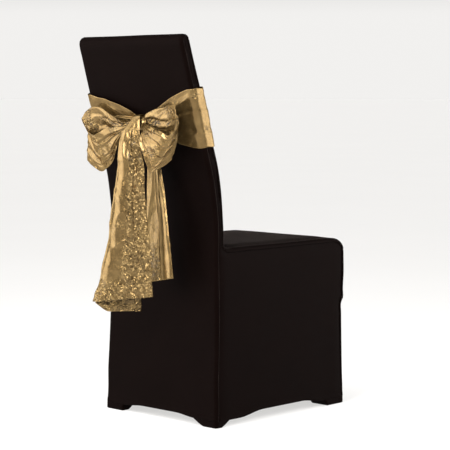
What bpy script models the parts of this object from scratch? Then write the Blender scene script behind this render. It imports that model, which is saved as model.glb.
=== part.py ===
"""Fitted stretch chair cover with a gold sash tied in a bow behind its raked back.

The cover is hollow: five cloth panels and four foot pockets stand where they lie on a
dining chair, which is left out. The sash is one strip of cloth round the back, with two
loops and two tails. Sizes are in metres. The shapes are worked out with the floor at
z 0, the lower rear face near y 0 and the front towards -Y, and an empty then carries
the whole part to its own frame, whose origin is under the middle of the back's top.
Left and right are those of a person sitting in the chair, so right is -X.
"""
import math

import bmesh
import bpy
from mathutils import Vector

# Cloth
COVER_CLOTH = 0.0015
SASH_CLOTH = 0.0016
SEAM_GAP = 0.0003
CLEARANCE = 0.0025            # sash to cover

# Side profile of the cover's outer face, from the rear hem over the top to the front hem
SEAM_HEIGHT = 0.018           # top of the foot pockets
OVERALL_HEIGHT = 1.0405
RAKE_START = (0.014, 0.662)   # y, z where the rear face becomes straight
RAKE_SLOPE = 0.2918           # y gained for each metre of height
TOP_ROUND = 0.018             # radius of the back's top, front to rear
SEAT_TOP = 0.4765             # at the seat's side edges
SEAT_CROWN = 0.0045           # the seat's flat middle stands this much higher
CROWN_ROLL = 0.045            # width over which the crown falls to the edges
CREASE_ROUND = 0.012          # where the back meets the seat
BACK_FACE_AT_SEAT = -0.038
SEAT_FRONT = -0.533
FRONT_ROUND = (0.050, 0.035)  # depth and height of the seat's rounded front edge
CORNER_ROUND = 0.011          # curl of every panel on to the sides
ARC_STEPS = 3

# Height and half width of the cover
HALF_WIDTHS = (
    (0.00, 0.2183),
    (0.48, 0.2081),
    (1.05, 0.2006),
)
# y, z of the rear face below the straight rake
REAR_FACE = (
    (0.0085, SEAM_HEIGHT + SEAM_GAP),
    (0.0060, 0.050),
    (0.0060, 0.115),
    (0.0030, 0.170),
    (-0.0010, 0.270),
    (-0.0020, 0.350),
    (-0.0020, 0.450),
    (-0.0020, 0.555),
    (0.0005, 0.580),
    (0.0050, 0.611),
    RAKE_START,
)
# y, z of the face a sitter leans on, from the top down
LEANING_FACE = (
    (0.0750, 1.000),
    (0.0560, 0.938),
    (0.0310, 0.860),
    (0.0040, 0.768),
    (-0.0190, 0.690),
    (-0.0300, 0.626),
    (-0.0355, 0.562),
)
# y, z of the front below the rounded seat edge; the step is the seat rail's lower edge
FRONT_FACE = (
    (SEAT_FRONT, 0.420),
    (SEAT_FRONT, 0.380),
    (-0.5285, 0.330),
    (-0.5275, 0.300),
    (-0.5200, 0.290),
    (-0.5195, 0.260),
    (-0.5200, 0.170),
    (-0.5210, 0.090),
    (-0.5220, 0.050),
    (-0.5220, SEAM_HEIGHT + SEAM_GAP),
)
REAR_HEM_RISE = 0.0062
FRONT_HEM_RISE = 0.0070
SIDE_HEM_RISE = 0.0112
HEM_FADE = 0.15               # height over which the hem's arch fades out
HEM_FLAT_SHARE = 0.165        # share of a hem, at each end, that lies on a foot pocket
HEM_BEND_SHARE = 0.18         # share over which it then rises

# Foot pockets: length across and along at the seam, and how much shorter the sole is
POCKETS = (
    # name,                      side, end, across, along, shorter_across, shorter_along
    ("foot_pocket_rear_left", 1, 1, 0.073, 0.047, 0.002, 0.020),
    ("foot_pocket_rear_right", -1, 1, 0.088, 0.055, 0.034, 0.028),
    ("foot_pocket_front_left", 1, -1, 0.066, 0.079, 0.005, 0.004),
    ("foot_pocket_front_right", -1, -1, 0.066, 0.084, 0.005, 0.009),
)
POCKET_CORNER = 0.004

# Sash, in the raked back's own frame: x across, n out of the rear face, u up the face
BACK_DEPTH = 0.040            # front to rear face of the back, at the sash
KNOT = (-0.018, 0.032, 0.018)
KNOT_RADII = (0.032, 0.027, 0.025)
BAND_PLEATS = 3
BAND_ROWS = 9
PRESSED = 0.6                 # pleats are this much shallower round the back's edges
# x, n, middle u, half height and pleat depth, from the knot round the back and home again
BAND_REAR_LEFT = (
    (0.000, 0.0150, 0.018, 0.014, 0.0045),
    (0.030, 0.0070, 0.021, 0.026, 0.0080),
    (0.075, 0.0030, 0.018, 0.045, 0.0090),
    (0.125, 0.0010, 0.014, 0.063, 0.0080),
    (0.165, 0.0000, 0.013, 0.070, 0.0060),
    (0.188, 0.0000, 0.015, 0.074, 0.0045),
)
BAND_FRONT = (
    (0.150, 0.0000, 0.016, 0.080, 0.0035),
    (0.050, 0.0000, 0.012, 0.083, 0.0045),
    (-0.050, 0.0000, 0.013, 0.082, 0.0040),
    (-0.150, 0.0000, 0.016, 0.080, 0.0035),
)
BAND_REAR_RIGHT = (
    (-0.188, 0.0000, 0.022, 0.080, 0.0050),
    (-0.165, 0.0000, 0.020, 0.075, 0.0070),
    (-0.125, 0.0010, 0.017, 0.064, 0.0090),
    (-0.090, 0.0030, 0.018, 0.045, 0.0090),
    (-0.060, 0.0070, 0.020, 0.026, 0.0080),
    (-0.036, 0.0150, 0.018, 0.014, 0.0045),
)
# x, u along each loop's outer fold, from its upper to its lower edge
LEFT_LOOP_FOLD = (
    (0.196, 0.046),
    (0.207, 0.020),
    (0.199, -0.012),
    (0.206, -0.046),
    (0.218, -0.078),
    (0.212, -0.103),
    (0.166, -0.121),
)
RIGHT_LOOP_FOLD = (
    (-0.180, 0.076),
    (-0.189, 0.045),
    (-0.181, 0.014),
    (-0.166, -0.020),
    (-0.148, -0.052),
    (-0.122, -0.078),
    (-0.072, -0.106),
)
LOOPS = (
    # fold, n at the upper and lower edge, half thickness, rise and drop of those edges
    (LEFT_LOOP_FOLD, 0.036, 0.050, 0.017, 0.036, 0.010),
    (RIGHT_LOOP_FOLD, 0.038, 0.062, 0.019, 0.022, -0.004),
)
LOOP_STEPS = 14
LOOP_PLEATS = 2.5
LOOP_PLEAT_DEPTH = 0.007
# Tail over the knot: height of the row, x and y of its folded left edge and its right edge
FRONT_TAIL = (
    (0.824, -0.016, 0.104, -0.030, 0.096),
    (0.806, -0.015, 0.120, -0.036, 0.102),
    (0.780, -0.014, 0.129, -0.041, 0.102),
    (0.738, -0.011, 0.134, -0.042, 0.101),
    (0.698, -0.006, 0.139, -0.045, 0.098),
    (0.658, 0.001, 0.145, -0.051, 0.092),
    (0.619, 0.007, 0.152, -0.053, 0.090),
    (0.579, 0.014, 0.159, -0.053, 0.089),
    (0.539, 0.020, 0.166, -0.053, 0.090),
    (0.486, 0.025, 0.171, -0.054, 0.089),
    (0.432, 0.034, 0.180, -0.055, 0.088),
    (0.379, 0.043, 0.189, -0.056, 0.087),
    (0.334, 0.053, 0.200, -0.058, 0.085),
)
FRONT_TAIL_STEPS = 6          # columns on the tail's outer layer
TURNED_STEPS = 5              # columns on the layer turned under
TURNED_SHARE = 0.80           # width of the turned layer
TURNED_DROP = 0.018           # it hangs this much lower
TURNED_STANDOFF = 0.013       # and this far behind
# Tail behind: height of the row, x and y of its left edge and its right edge, pleat depth
REAR_TAIL = (
    (0.800, -0.010, 0.080, -0.032, 0.080, 0.003),
    (0.760, -0.006, 0.066, -0.044, 0.064, 0.005),
    (0.700, -0.004, 0.056, -0.063, 0.053, 0.007),
    (0.640, -0.002, 0.056, -0.080, 0.051, 0.009),
    (0.580, 0.000, 0.058, -0.092, 0.052, 0.010),
    (0.520, 0.002, 0.060, -0.104, 0.054, 0.011),
    (0.460, 0.004, 0.063, -0.115, 0.056, 0.010),
    (0.400, 0.006, 0.066, -0.126, 0.058, 0.009),
)
REAR_TAIL_COLUMNS = 12
REAR_TAIL_PLEATS = 3
REAR_TAIL_SLANT = 0.024       # the hem is this much lower on the left

# The part's origin: middle of the underside of the back's top
TOP_CENTRE_Z = OVERALL_HEIGHT - TOP_ROUND
RAKE_COS = 1.0 / math.hypot(1.0, RAKE_SLOPE)
RAKE_SIN = RAKE_SLOPE * RAKE_COS
ORIGIN_Y = (RAKE_START[0] + RAKE_SLOPE * (TOP_CENTRE_Z - RAKE_START[1])
            - TOP_ROUND / RAKE_COS)
ORIGIN_Z = OVERALL_HEIGHT - COVER_CLOTH
SASH_BASE_Z = 0.800           # u is measured from here


def clear_scene():
    for item in list(bpy.data.objects):
        bpy.data.objects.remove(item, do_unlink=True)


def principled(name, colour, roughness, metallic):
    material = bpy.data.materials.new(name)
    material.use_nodes = True
    shader = material.node_tree.nodes["Principled BSDF"]
    shader.inputs["Base Color"].default_value = (*colour, 1.0)
    shader.inputs["Roughness"].default_value = roughness
    shader.inputs["Metallic"].default_value = metallic
    material.diffuse_color = (*colour, 1.0)
    return material


def lerp(first, second, share):
    return first + (second - first) * share


def along(table, key):
    """Columns of a table at a key between the keys of its first column."""
    for low, high in zip(table, table[1:]):
        if min(low[0], high[0]) <= key <= max(low[0], high[0]):
            share = (key - low[0]) / (high[0] - low[0])
            return [lerp(a, b, share) for a, b in zip(low[1:], high[1:])]
    nearest = table[0] if abs(key - table[0][0]) < abs(key - table[-1][0]) else table[-1]
    return list(nearest[1:])


def half_width(z):
    return along(HALF_WIDTHS, z)[0]


def smooth(share):
    share = min(max(share, 0.0), 1.0)
    return share * share * (3.0 - 2.0 * share)


def add_object(name, mesh, material, parent):
    mesh.materials.append(material)
    item = bpy.data.objects.new(name, mesh)
    bpy.context.scene.collection.objects.link(item)
    item.parent = parent
    return item


def closed_mesh(name, points, faces, sharp_deg=40.0):
    work = bmesh.new()
    verts = [work.verts.new(point) for point in points]
    for face in faces:
        work.faces.new([verts[index] for index in face])
    bmesh.ops.recalc_face_normals(work, faces=work.faces)
    mesh = bpy.data.meshes.new(name)
    work.to_mesh(mesh)
    work.free()
    mesh.shade_smooth()
    mesh.set_sharp_from_angle(angle=math.radians(sharp_deg))
    return mesh


def grid_normal(rows, i, j):
    """Normal of a grid of points, from its neighbours on each side."""
    below = rows[max(i - 1, 0)][j]
    above = rows[min(i + 1, len(rows) - 1)][j]
    before = rows[i][max(j - 1, 0)]
    after = rows[i][min(j + 1, len(rows[0]) - 1)]
    return (after - before).cross(above - below).normalized()


def backing(rows, thickness, turn):
    """Inner face of a sheet whose outer face is rows; turn is 1 or -1."""
    return [[point - grid_normal(rows, i, j) * thickness * turn
             for j, point in enumerate(row)] for i, row in enumerate(rows)]


def sheet(name, rows, inner_rows):
    """Closed sheet of cloth between the points of its outer and of its inner face."""
    wide = len(rows[0])
    deep = len(rows)
    outer = [point for row in rows for point in row]
    inner = [point for row in inner_rows for point in row]
    start = len(outer)
    faces = []
    for i in range(deep - 1):
        for j in range(wide - 1):
            a, b, c, d = (i * wide + j, i * wide + j + 1,
                          (i + 1) * wide + j + 1, (i + 1) * wide + j)
            faces.append((a, b, c, d))
            faces.append((d + start, c + start, b + start, a + start))
    edge = [j for j in range(wide)]
    edge += [i * wide + wide - 1 for i in range(1, deep)]
    edge += [(deep - 1) * wide + j for j in range(wide - 2, -1, -1)]
    edge += [i * wide for i in range(deep - 2, 0, -1)]
    for a, b in zip(edge, edge[1:] + edge[:1]):
        faces.append((a, b, b + start, a + start))
    return closed_mesh(name, outer + inner, faces)


# ---- Cover -------------------------------------------------------------------------

def rear_line(z):
    return RAKE_START[0] + RAKE_SLOPE * (z - RAKE_START[1])


def arc(centre, radii, start_deg, end_deg, steps):
    points = []
    for step in range(steps + 1):
        angle = math.radians(lerp(start_deg, end_deg, step / steps))
        points.append((centre[0] + radii[0] * math.cos(angle),
                       centre[1] + radii[1] * math.sin(angle)))
    return points


def profile_paths():
    """The four stretches of the side profile, y and z, each from rear to front."""
    rake_deg = math.degrees(math.atan(RAKE_SLOPE))
    straight = [(rear_line(z), z) for z in (0.72, 0.79, 0.86, 0.93, 0.985)]
    top = arc((ORIGIN_Y, TOP_CENTRE_Z), (TOP_ROUND, TOP_ROUND), -rake_deg, 180 - rake_deg, 7)
    back = list(REAR_FACE) + straight + top
    seat_back = BACK_FACE_AT_SEAT - CREASE_ROUND
    crease = arc((seat_back, SEAT_TOP + CREASE_ROUND), (CREASE_ROUND, CREASE_ROUND),
                 0, -90, 4)
    leaning = [top[-1]] + list(LEANING_FACE) + [(BACK_FACE_AT_SEAT, 0.51)] + crease[:3]
    front_centre = (SEAT_FRONT + FRONT_ROUND[0], SEAT_TOP - FRONT_ROUND[1])
    roll = arc(front_centre, FRONT_ROUND, 90, 180, 6)
    seat_run = seat_back - front_centre[0]
    seat = crease[2:] + [(seat_back - seat_run * share, SEAT_TOP)
                         for share in (0.05, 0.11, 0.3, 0.5, 0.7, 0.9)] + roll
    front = [roll[-1]] + list(FRONT_FACE)
    return back, leaning, seat, front


def path_normals(path, before=None, after=None):
    """Outward normals in y, z of a path from rear to front; level at a hem's end."""
    run = ([before] if before else []) + list(path) + ([after] if after else [])
    first = 1 if before else 0
    normals = []
    for index in range(first, first + len(path)):
        low = run[max(index - 1, 0)]
        high = run[min(index + 1, len(run) - 1)]
        along_y, along_z = high[0] - low[0], high[1] - low[1]
        length = math.hypot(along_y, along_z)
        normals.append((along_z / length, -along_y / length))
    if not before:
        normals[0] = (math.copysign(1.0, normals[0][0]), 0.0)
    if not after:
        normals[-1] = (math.copysign(1.0, normals[-1][0]), 0.0)
    return normals


def hem_arch(share):
    """0 where a hem lies on the foot pockets, 1 along its middle."""
    return smooth((min(share, 1.0 - share) - HEM_FLAT_SHARE) / HEM_BEND_SHARE)


def hem_lift(share, rise, z):
    fade = 1.0 - (z - SEAM_HEIGHT) / HEM_FADE
    return rise * hem_arch(share) * max(fade, 0.0)


def seat_swell(x, y, edge):
    """Height of the seat's crown: flat in the middle, gone at the edges."""
    side = smooth((edge - abs(x)) / CROWN_ROLL)
    rear = smooth((BACK_FACE_AT_SEAT - CREASE_ROUND - y) / CROWN_ROLL)
    front = smooth((y - SEAT_FRONT - FRONT_ROUND[0]) / CROWN_ROLL + 0.3)
    return SEAT_CROWN * side * rear * front


FLAT_SHARES = (-1.0, -0.85, -0.68, -0.50, -0.25, 0.0, 0.25, 0.50, 0.68, 0.85, 1.0)


def strip_faces(path, normals, rise=0.0, swell=False, trim_start=0.0, trim_end=0.0):
    """Outer and inner face of a panel swept along a path, its sides curled round."""
    rows = []
    inner_rows = []
    for index, ((y, z), (ny, nz)) in enumerate(zip(path, normals)):
        if index == 0 and trim_start:
            y, z = y - nz * trim_start, z + ny * trim_start
        if index == len(path) - 1 and trim_end:
            y, z = y + nz * trim_end, z - ny * trim_end
        cross = [(-1, math.radians(90 - 90 * step / ARC_STEPS)) for step in range(ARC_STEPS)]
        cross += [(share, 0.0) for share in FLAT_SHARES]
        cross += [(1, math.radians(90 * (step + 1) / ARC_STEPS)) for step in range(ARC_STEPS)]
        row = []
        inner_row = []
        for share, angle in cross:
            sink = CORNER_ROUND * (1.0 - math.cos(angle))
            py, pz = y - ny * sink, z - nz * sink
            width = half_width(pz)
            flat = width - CORNER_ROUND
            x = share * flat + math.copysign(CORNER_ROUND * math.sin(angle), share)
            if rise:
                pz += hem_lift((x / flat + 1.0) / 2.0, rise, pz)
            if swell and angle == 0.0:
                lift = seat_swell(x, py, flat)
                py, pz = py + ny * lift, pz + nz * lift
            outward = Vector((math.copysign(math.sin(angle), share),
                              ny * math.cos(angle), nz * math.cos(angle)))
            row.append(Vector((x, py, pz)))
            inner_row.append(row[-1] - outward * COVER_CLOTH)
        rows.append(row)
        inner_rows.append(inner_row)
    return rows, inner_rows


def side_outline(paths):
    """Outline in y, z of a side panel, one curl and one seam gap inside the profile."""
    back, leaning, seat, front = paths
    whole = back + leaning[1:] + seat[1:] + front[1:]
    inset = CORNER_ROUND + SEAM_GAP
    outline = [(y - ny * inset, z - nz * inset)
               for (y, z), (ny, nz) in zip(whole, path_normals(whole))]
    rear_y, front_y = outline[0][0], outline[-1][0]
    bottom = SEAM_HEIGHT + SEAM_GAP
    outline[0] = (rear_y, bottom)
    outline[-1] = (front_y, bottom)
    steps = 14
    for step in range(1, steps):
        share = step / steps
        outline.append((lerp(front_y, rear_y, share),
                        bottom + SIDE_HEM_RISE * hem_arch(share)))
    return outline


def side_panel(name, side, outline):
    """Side panel: its outline is cut into a grid, thickened, and laid on the taper."""
    work = bmesh.new()
    work.faces.new([work.verts.new((0.0, y, z)) for y, z in outline])
    cuts = [((0, 0, z), (0, 0, 1)) for z in (0.06, 0.17, 0.28, 0.38, 0.46, 0.56, 0.68, 0.8, 0.92)]
    cuts += [((0, y, 0), (0, 1, 0)) for y in (-0.43, -0.33, -0.23, -0.13, -0.035)]
    for point, normal in cuts:
        geometry = work.verts[:] + work.edges[:] + work.faces[:]
        bmesh.ops.bisect_plane(work, geom=geometry, plane_co=point, plane_no=normal)
    bmesh.ops.triangulate(work, faces=work.faces)
    copied = bmesh.ops.extrude_face_region(work, geom=work.faces[:])
    for item in copied["geom"]:
        if isinstance(item, bmesh.types.BMVert):
            item.co.x = -COVER_CLOTH
    for vert in work.verts:
        vert.co.x = side * (vert.co.x + half_width(vert.co.z))
    bmesh.ops.recalc_face_normals(work, faces=work.faces)
    mesh = bpy.data.meshes.new(name)
    work.to_mesh(mesh)
    work.free()
    mesh.shade_smooth()
    mesh.set_sharp_from_angle(angle=math.radians(40))
    return mesh


def rounded_ring(low, high, outer_corner, radii, z):
    """Round-cornered rectangle at one height; outer_corner has the larger radius."""
    corners = (((high[0], high[1]), 0), ((low[0], high[1]), 90),
               ((low[0], low[1]), 180), ((high[0], low[1]), 270))
    ring = []
    for (x, y), start in corners:
        radius = radii[0] if (x, y) == outer_corner else radii[1]
        cx = x - math.copysign(radius, x - (low[0] + high[0]) / 2)
        cy = y - math.copysign(radius, y - (low[1] + high[1]) / 2)
        for px, py in arc((cx, cy), (radius, radius), start, start + 90, ARC_STEPS):
            ring.append(Vector((px, py, z)))
    return ring


def foot_pocket(name, side, end, across, length, less_across, less_along):
    """Cup of cloth under one leg: four walls and a sole, open upwards."""
    rings = []
    outer_y = REAR_FACE[0][0] if end > 0 else FRONT_FACE[-1][0]
    for z, shrink, inset in ((0.0, 1, 0.0), (SEAM_HEIGHT, 0, 0.0),
                             (SEAM_HEIGHT, 0, COVER_CLOTH), (COVER_CLOTH, 1, COVER_CLOTH)):
        outer_x = side * (half_width(z) - inset)
        inner_x = side * (half_width(z) - across + shrink * less_across + inset)
        edge_y = outer_y - end * inset
        inner_y = outer_y - end * (length - shrink * less_along - inset)
        low = (min(outer_x, inner_x), min(edge_y, inner_y))
        high = (max(outer_x, inner_x), max(edge_y, inner_y))
        radii = (CORNER_ROUND - inset, POCKET_CORNER - inset)
        rings.append(rounded_ring(low, high, (outer_x, edge_y), radii, z))
    count = len(rings[0])
    faces = [tuple(range(count)), tuple(range(3 * count, 4 * count))]
    for level in range(3):
        for index in range(count):
            after = (index + 1) % count
            faces.append((level * count + index, level * count + after,
                          (level + 1) * count + after, (level + 1) * count + index))
    return closed_mesh(name, [point for ring in rings for point in ring], faces)


def make_cover(material, parent):
    paths = profile_paths()
    back, leaning, seat, front = paths
    half_gap = SEAM_GAP / 2
    back_faces = strip_faces(back, path_normals(back, after=leaning[1]),
                             rise=REAR_HEM_RISE, trim_end=half_gap)
    leaning_faces = strip_faces(leaning, path_normals(leaning, back[-2], seat[1]),
                                trim_start=half_gap, trim_end=half_gap)
    seat_faces = strip_faces(seat, path_normals(seat, leaning[-2], front[1]), swell=True,
                             trim_start=half_gap, trim_end=half_gap)
    front_faces = strip_faces(front, path_normals(front, before=seat[-2]),
                              rise=FRONT_HEM_RISE, trim_start=half_gap)
    panels = (("back_panel", back_faces), ("inner_back_panel", leaning_faces),
              ("seat_panel", seat_faces), ("front_panel", front_faces))
    for name, faces in panels:
        add_object(name, sheet(name, *faces), material, parent)
    outline = side_outline(paths)
    for name, side in (("side_panel_left", 1), ("side_panel_right", -1)):
        add_object(name, side_panel(name, side, outline), material, parent)
    for name, *sizes in POCKETS:
        add_object(name, foot_pocket(name, *sizes), material, parent)


# ---- Sash --------------------------------------------------------------------------

def on_back(x, n, u):
    """Point in the raked back's frame: across, out of the rear face, and up the face."""
    return Vector((x, rear_line(SASH_BASE_Z) + u * RAKE_SIN + n * RAKE_COS,
                   SASH_BASE_Z + u * RAKE_COS - n * RAKE_SIN))


def pleat(share, count):
    """Depth of a soft pleat across a strip, 0 at its edges and up to 1 between."""
    return 0.5 - 0.5 * math.cos(math.tau * count * share)


def round_corner(side, centre_n, start_deg, end_deg, row):
    """Band stations round one vertical edge of the back, with its pleats pressed flatter."""
    reach = half_width(SASH_BASE_Z) - CORNER_ROUND
    radius = CORNER_ROUND + CLEARANCE + SASH_CLOTH
    stations = []
    for step in range(ARC_STEPS + 1):
        angle = math.radians(lerp(start_deg, end_deg, step / ARC_STEPS))
        out = (math.cos(angle), math.sin(angle))
        place = (side * reach + radius * out[0], centre_n + radius * out[1])
        stations.append((place, out, row[2], row[3], row[4] * PRESSED))
    return stations


def band_stations():
    """Place, outward direction, middle, half height and pleat depth, round the back."""
    stand = CLEARANCE + SASH_CLOTH
    inner_n = -BACK_DEPTH + CORNER_ROUND
    rear_left = [((x, n + stand), (0.0, 1.0), *rest) for x, n, *rest in BAND_REAR_LEFT]
    front = [((x, -BACK_DEPTH - stand - n), (0.0, -1.0), *rest) for x, n, *rest in BAND_FRONT]
    rear_right = [((x, n + stand), (0.0, 1.0), *rest) for x, n, *rest in BAND_REAR_RIGHT]
    return (rear_left
            + round_corner(1, -CORNER_ROUND, 90, 0, BAND_REAR_LEFT[-1])
            + round_corner(1, inner_n, 0, -90, BAND_FRONT[0])
            + front
            + round_corner(-1, inner_n, -90, -180, BAND_FRONT[-1])
            + round_corner(-1, -CORNER_ROUND, -180, -270, BAND_REAR_RIGHT[0])
            + rear_right)


def band_rows():
    rows = []
    for (x, n), out, middle, half, depth in band_stations():
        row = []
        for step in range(BAND_ROWS + 1):
            share = step / BAND_ROWS
            push = depth * pleat(share, BAND_PLEATS)
            row.append(on_back(x + out[0] * push, n + out[1] * push,
                               middle + half * (1.0 - 2.0 * share)))
        rows.append(row)
    return rows


def loop_rows(fold, upper_n, lower_n, half_n, rise, drop):
    """One bow loop: out from the knot, round its outer fold and back behind itself."""
    rows = []
    knot_x, knot_n, knot_u = KNOT
    for step in range(LOOP_STEPS + 1):
        turn = math.pi * lerp(0.04, 0.96, step / LOOP_STEPS)
        reach = math.sin(turn)
        spread = half_n * math.cos(turn) * (0.35 + 0.65 * reach)
        row = []
        for index, (x, u) in enumerate(fold):
            share = index / (len(fold) - 1)
            bow = lerp(rise, -drop, share) * math.sin(math.pi * reach)
            pinch = lerp(0.012, -0.012, share) * (1.0 - reach)
            crease = LOOP_PLEAT_DEPTH * (pleat(share, LOOP_PLEATS) - 0.5) * reach * (1.6 - reach)
            row.append(on_back(lerp(knot_x, x, reach),
                               lerp(knot_n, lerp(upper_n, lower_n, share), reach) + spread + crease,
                               lerp(knot_u, u, reach) + bow + pinch))
        rows.append(row)
    return rows


def front_tail_rows():
    """Tail that falls over the knot: an outer layer, a fold at its left, a layer under."""
    rows = []
    lowest = FRONT_TAIL[-1][0]
    highest = FRONT_TAIL[0][0]
    for z, left_x, left_y, right_x, right_y in FRONT_TAIL:
        fall = (highest - z) / (highest - lowest)
        left, right = Vector((left_x, left_y, z)), Vector((right_x, right_y, z))
        across = (right - left)
        behind = Vector((across.y, -across.x, 0.0)).normalized() * -1
        if behind.y > 0:
            behind = -behind
        standoff = TURNED_STANDOFF * lerp(0.45, 1.0, smooth(fall * 3.0))
        pleats = 0.006 * (1.0 - 0.75 * fall) * smooth(fall * 8.0)
        row = []
        for step in range(FRONT_TAIL_STEPS + 1):
            share = 1.0 - step / FRONT_TAIL_STEPS
            push = pleats * pleat(share, 1.5)
            hem = 0.013 * share * smooth(fall * 6.0 - 5.0)
            row.append(left + across * share - behind * push + Vector((0, 0, hem)))
        for step in range(1, 3):
            angle = math.pi * step / 3
            row.append(left + behind * standoff * (1 - math.cos(angle)) / 2
                       - across.normalized() * standoff * 0.35 * math.sin(angle))
        for step in range(TURNED_STEPS + 1):
            share = TURNED_SHARE * step / TURNED_STEPS
            drop = TURNED_DROP * smooth(fall * 2.0 - 1.0) * smooth(share * 3.0 + 0.25)
            push = standoff + pleats * 0.5 * pleat(share, 1.5)
            row.append(left + across * share + behind * push - Vector((0, 0, drop)))
        rows.append(row)
    return rows


def rear_tail_rows():
    """Pleated tail that hangs behind the other one."""
    rows = []
    highest, lowest = REAR_TAIL[0][0], REAR_TAIL[-1][0]
    for z, left_x, left_y, right_x, right_y, depth in REAR_TAIL:
        fall = (highest - z) / (highest - lowest)
        row = []
        for step in range(REAR_TAIL_COLUMNS + 1):
            share = step / REAR_TAIL_COLUMNS
            push = depth * pleat(share, REAR_TAIL_PLEATS)
            slant = REAR_TAIL_SLANT * (share - 1.0) * fall
            row.append(Vector((lerp(left_x, right_x, share),
                               lerp(left_y, right_y, share) + push, z + slant)))
        rows.append(row)
    return rows


def knot_mesh(name):
    work = bmesh.new()
    bmesh.ops.create_uvsphere(work, u_segments=16, v_segments=10, radius=1.0)
    for vert in work.verts:
        x, n, u = (middle + radius * part
                   for middle, radius, part in zip(KNOT, KNOT_RADII, vert.co))
        vert.co = on_back(x, n, u)
    bmesh.ops.recalc_face_normals(work, faces=work.faces)
    mesh = bpy.data.meshes.new(name)
    work.to_mesh(mesh)
    work.free()
    mesh.shade_smooth()
    return mesh


def make_sash(material, parent):
    """The sash is one strip of cloth, so its stretches are united with the knot."""
    sash = add_object("sash", knot_mesh("sash"), material, parent)
    stretches = [("band", band_rows(), -1)]
    stretches += [(f"loop_{number}", loop_rows(*loop), 1 if number else -1)
                  for number, loop in enumerate(LOOPS)]
    stretches += [("front_tail", front_tail_rows(), 1), ("rear_tail", rear_tail_rows(), -1)]
    for name, rows, turn in stretches:
        mesh = sheet(name, rows, backing(rows, SASH_CLOTH, turn))
        stretch = add_object(f"sash_{name}", mesh, material, parent)
        stretch.hide_render = True
        stretch.display_type = "WIRE"
        union = sash.modifiers.new(name, "BOOLEAN")
        union.operation = "UNION"
        union.solver = "EXACT"
        union.object = stretch


def main():
    clear_scene()
    frame = bpy.data.objects.new("chair_back_top", None)
    bpy.context.scene.collection.objects.link(frame)
    frame.location = (0.0, -ORIGIN_Y, -ORIGIN_Z)
    make_cover(principled("black stretch knit", (0.012, 0.007, 0.006), 0.62, 0.0), frame)
    make_sash(principled("gold lame", (0.62, 0.44, 0.18), 0.28, 0.9), frame)


main()
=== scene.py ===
# %% [markdown]
# # A stretch chair cover with a gold sash
# The real thing is a knitted cover pulled tightly over a dining chair, and a strip of
# metallic cloth tied in a bow behind the chair's raked back. The imported model already
# holds every size, so this lesson only makes the looks: finer cloth in the same places.
# It starts with that model, and keeps its box.

# %% The imported frame
import math

import bmesh
import bpy
import numpy as np
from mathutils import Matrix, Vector


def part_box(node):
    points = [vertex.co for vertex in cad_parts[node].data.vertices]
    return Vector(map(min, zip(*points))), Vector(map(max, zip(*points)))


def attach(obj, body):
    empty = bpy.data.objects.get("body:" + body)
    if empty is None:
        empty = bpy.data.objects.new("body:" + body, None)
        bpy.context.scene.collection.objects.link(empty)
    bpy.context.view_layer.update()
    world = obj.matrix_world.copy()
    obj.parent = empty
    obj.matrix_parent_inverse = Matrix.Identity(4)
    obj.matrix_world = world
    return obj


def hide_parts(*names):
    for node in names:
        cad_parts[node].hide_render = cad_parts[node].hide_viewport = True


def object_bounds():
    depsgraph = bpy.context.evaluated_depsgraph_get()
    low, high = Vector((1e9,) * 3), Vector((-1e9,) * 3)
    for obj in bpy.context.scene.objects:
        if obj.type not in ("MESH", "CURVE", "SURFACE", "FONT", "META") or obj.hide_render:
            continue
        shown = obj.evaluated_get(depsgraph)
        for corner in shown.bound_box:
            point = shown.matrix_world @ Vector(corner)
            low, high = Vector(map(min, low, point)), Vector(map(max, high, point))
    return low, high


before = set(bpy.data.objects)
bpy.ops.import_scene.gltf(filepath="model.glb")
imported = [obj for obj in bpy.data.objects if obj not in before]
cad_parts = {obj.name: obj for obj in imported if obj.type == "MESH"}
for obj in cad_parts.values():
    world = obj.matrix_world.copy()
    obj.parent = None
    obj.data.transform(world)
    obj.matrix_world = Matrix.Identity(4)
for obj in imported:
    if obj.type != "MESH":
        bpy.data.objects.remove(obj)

cad_box = [list(map(float, corner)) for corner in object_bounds()]
print("CAD box", cad_box)

# %% [markdown]
# ## Where things are
# The model's origin hangs under the top of the back. Cloth is easier to think about from
# the floor up and from the rear face forwards, so two numbers from the model's own boxes
# carry every point made below to its place. x needs none: it is 0 in the middle.

# %% Floor, rear face and the sizes that the boxes give
HEM_REAR_Y = 0.0085           # the rear hem stands this far behind the rear face
SEAM_HEIGHT = 0.018           # top of the foot pockets
CLOTH = 0.0012                # thickness of the knit
SEAM_GAP = 0.0004
CORNER_ROUND = 0.011          # the panels curl round the cover's edges at this radius
RAKE_START = (0.014, 0.662)   # y and z where the straight raked back begins
RAKE_SLOPE = 0.2918
TOP_ROUND = 0.018
BOW_HEIGHT = 0.8              # the sash's own frame lies on the rear face at this height

floor_z = cad_box[0][2]
base_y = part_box("foot_pocket_rear_left")[1][1] - HEM_REAR_Y
seat_low, seat_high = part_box("seat_panel")
OVERALL_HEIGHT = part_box("back_panel")[1][2] - floor_z
SEAT_FRONT = seat_low[1] - base_y
SEAT_CROWN = 0.0045
SEAT_TOP = seat_high[2] - floor_z - SEAT_CROWN
# height, and half width there
HALF_WIDTHS = (
    (0.00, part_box("foot_pocket_rear_left")[1][0]),
    (0.48, 0.2081),
    (OVERALL_HEIGHT, 0.2008),
)
RAKE_COS = 1.0 / math.hypot(1.0, RAKE_SLOPE)
RAKE_SIN = RAKE_SLOPE * RAKE_COS
print("height", round(OVERALL_HEIGHT, 4), "seat", round(SEAT_TOP, 4))


def lerp(first, second, share):
    return first + (second - first) * share


def smooth(share):
    """0 to 1 with soft ends, for a number or a whole array."""
    share = np.clip(share, 0.0, 1.0)
    return share * share * (3.0 - 2.0 * share)


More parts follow.
